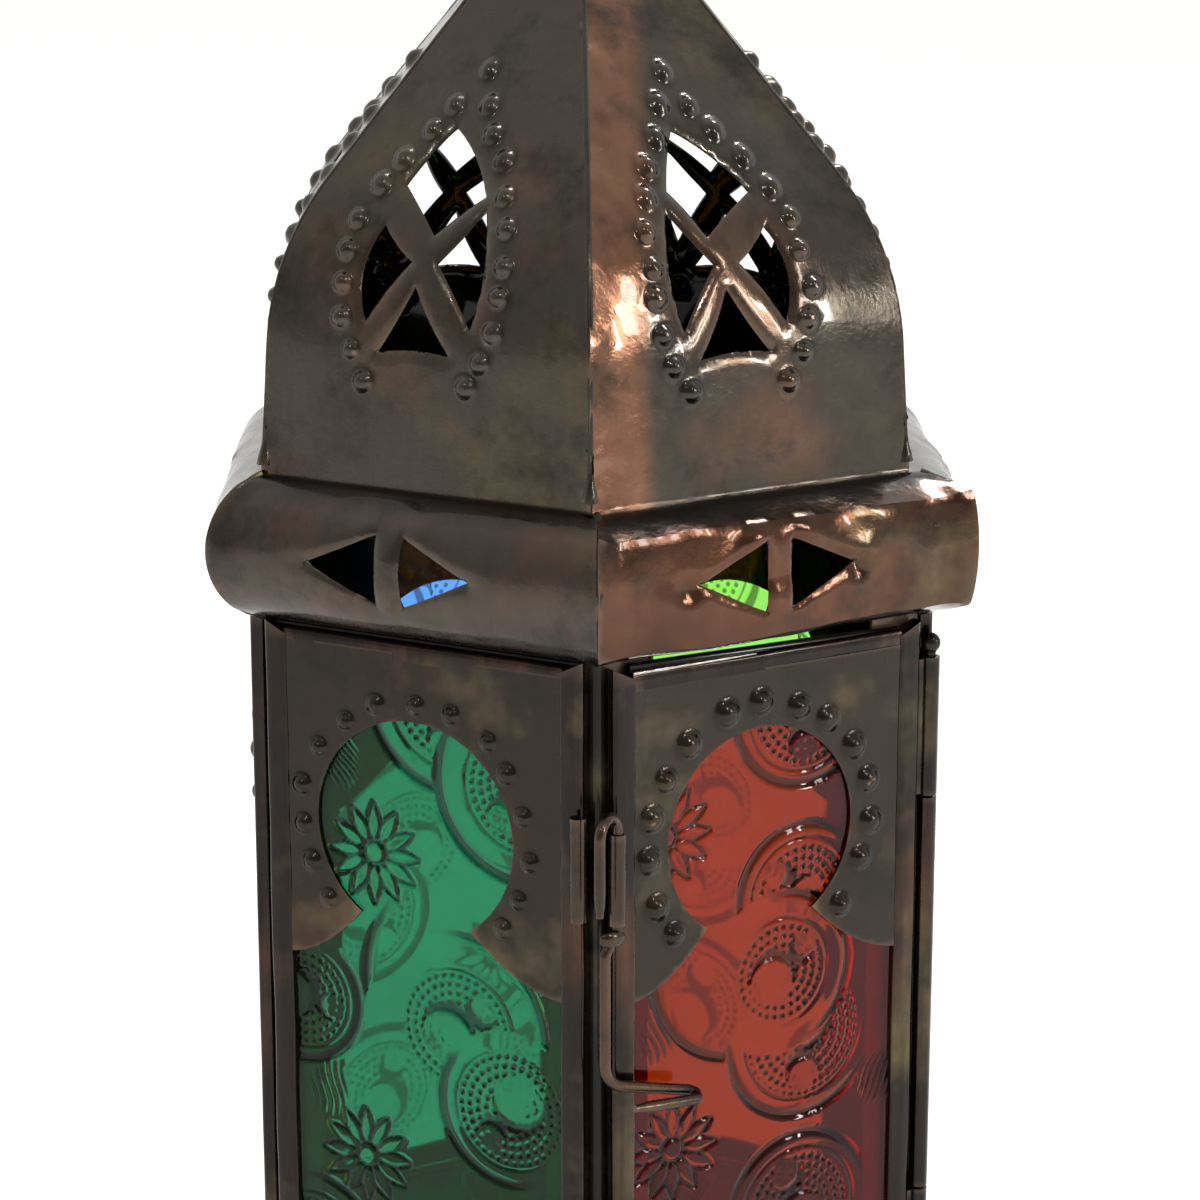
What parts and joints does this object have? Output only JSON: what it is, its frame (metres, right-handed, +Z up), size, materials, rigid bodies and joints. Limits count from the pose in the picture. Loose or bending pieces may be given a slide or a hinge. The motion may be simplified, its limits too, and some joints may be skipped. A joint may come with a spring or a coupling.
{
  "type": "candle lantern",
  "caption": "Hexagonal sheet-metal candle lantern with a pierced roof, rolled belts, coloured pressed-glass panes behind keyhole masks, a hinged door with a wire latch, and a hanging ring.",
  "frame": {"origin": "on the standing surface under the middle of the lantern", "axes": "+Z up; -Y out of the front corner, between the green pane and the door; +X to the right of the front corner seen from the front"},
  "size_m": [0.1212, 0.14, 0.2883],
  "materials": {
    "roof_metal": "antiqued bronze lacquer, glossy, worn to copper at folds",
    "belt_metal": "antiqued copper lacquer, glossy, dented",
    "mask_metal": "antiqued bronze lacquer, satin",
    "strip_metal": "antiqued bronze lacquer, worn to copper",
    "wire_metal": "antiqued copper lacquer, satin",
    "cup_metal": "dark lacquer, satin",
    "glass_green": "pressed relief, glossy",
    "glass_red": "pressed relief, glossy",
    "glass_blue": "pressed relief, glossy",
    "glass_lime": "pressed relief, glossy",
    "glass_amber": "pressed relief, glossy"
  },
  "bodies": {
    "lantern": {"back_left_frame": "strip_metal", "back_left_glass": "glass_blue", "back_left_mask": "mask_metal", "back_right_frame": "strip_metal", "back_right_glass": "glass_lime", "back_right_mask": "mask_metal", "base_belt_back_left": "belt_metal", "base_belt_back_right": "belt_metal", "base_belt_front_left": "belt_metal", "base_belt_front_right": "belt_metal", "base_belt_left": "belt_metal", "base_belt_right": "belt_metal", "belt_back_left": "belt_metal", "belt_back_right": "belt_metal", "belt_front_left": "belt_metal", "belt_front_right": "belt_metal", "belt_left": "belt_metal", "belt_right": "belt_metal", "candle_cup": "cup_metal", "feet": "belt_metal", "finial": "wire_metal", "floor_plate": "belt_metal", "front_left_frame": "strip_metal", "front_left_glass": "glass_green", "front_left_mask": "mask_metal", "hinge_pin": "wire_metal", "hinge_tube_middle": "wire_metal", "latch_tube_frame": "wire_metal", "left_frame": "strip_metal", "left_glass": "glass_amber", "left_mask": "mask_metal", "post_back": "strip_metal", "post_front": "strip_metal", "post_left_back": "strip_metal", "post_left_front": "strip_metal", "post_right_back": "strip_metal", "post_right_front": "strip_metal", "right_frame": "strip_metal", "right_glass": "glass_amber", "right_mask": "mask_metal", "ring_eye": "wire_metal", "roof_back_left": "roof_metal", "roof_back_right": "roof_metal", "roof_cap": "roof_metal", "roof_front_left": "roof_metal", "roof_front_right": "roof_metal", "roof_left": "roof_metal", "roof_right": "roof_metal"},
    "door": {"door_frame": "strip_metal", "door_glass": "glass_red", "door_mask": "mask_metal", "hinge_tube_lower": "wire_metal", "hinge_tube_upper": "wire_metal", "latch_tube_door": "wire_metal"},
    "latch": {"latch_wire": "wire_metal"},
    "ring": {"hanging_ring": "wire_metal"}
  },
  "joints": [
    {"name": "door_hinge", "type": "hinge", "parent": "lantern", "child": "door", "pos_m": [0.05387, -0.0311, 0.0875], "axis": [0, 0, 1], "range_deg": [0, 160]},
    {"name": "latch_turn", "type": "hinge", "parent": "door", "child": "latch", "pos_m": [0.00299, -0.06318, 0.12], "axis": [0, 0, 1], "range_deg": [-34, 0]},
    {"name": "ring_swing", "type": "hinge", "parent": "lantern", "child": "ring", "pos_m": [0, 0, 0.284], "axis": [1, 0, 0], "range_deg": [0, 294]}
  ]
}
